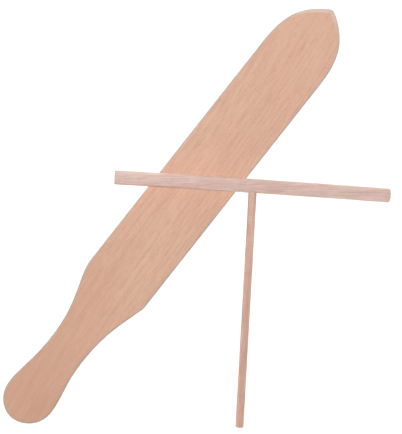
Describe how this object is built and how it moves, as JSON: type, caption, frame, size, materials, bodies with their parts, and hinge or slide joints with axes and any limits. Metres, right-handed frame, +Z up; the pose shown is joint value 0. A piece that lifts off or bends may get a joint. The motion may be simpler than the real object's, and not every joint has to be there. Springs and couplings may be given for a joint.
{
  "type": "crepe spatula and batter spreader set",
  "caption": "Long flat beech crepe spatula with a waisted grip and pointed nose, and a T-shaped batter spreader made of a round crossbar and a thinner round handle, lying across its blade.",
  "frame": {"origin": "middle of the spatula's length, on its flat underside, which is also the table", "axes": "+X along the spatula from the end of its grip to the tip of its nose, +Z up from the table, +Y across the blade, away from the spreader"},
  "size_m": [0.3842, 0.1917, 0.0182],
  "materials": {
    "spatula_beech": "bare beech, planed and fine sanded, matt, with a straight fine grain",
    "crossbar_beech": "bare beech dowel, paler and pinker, matt, with slanting grain flecks",
    "handle_beech": "bare beech dowel, matt, with fine lengthwise grain"
  },
  "bodies": {
    "spatula": {"spatula": "spatula_beech"},
    "spreader": {"crossbar": "crossbar_beech", "handle": "handle_beech"}
  },
  "joints": [
    {"name": "spreader_lift", "type": "slide", "parent": "spatula", "child": "spreader", "axis": [0, 0, 1], "range_m": [0, 0.1]}
  ]
}
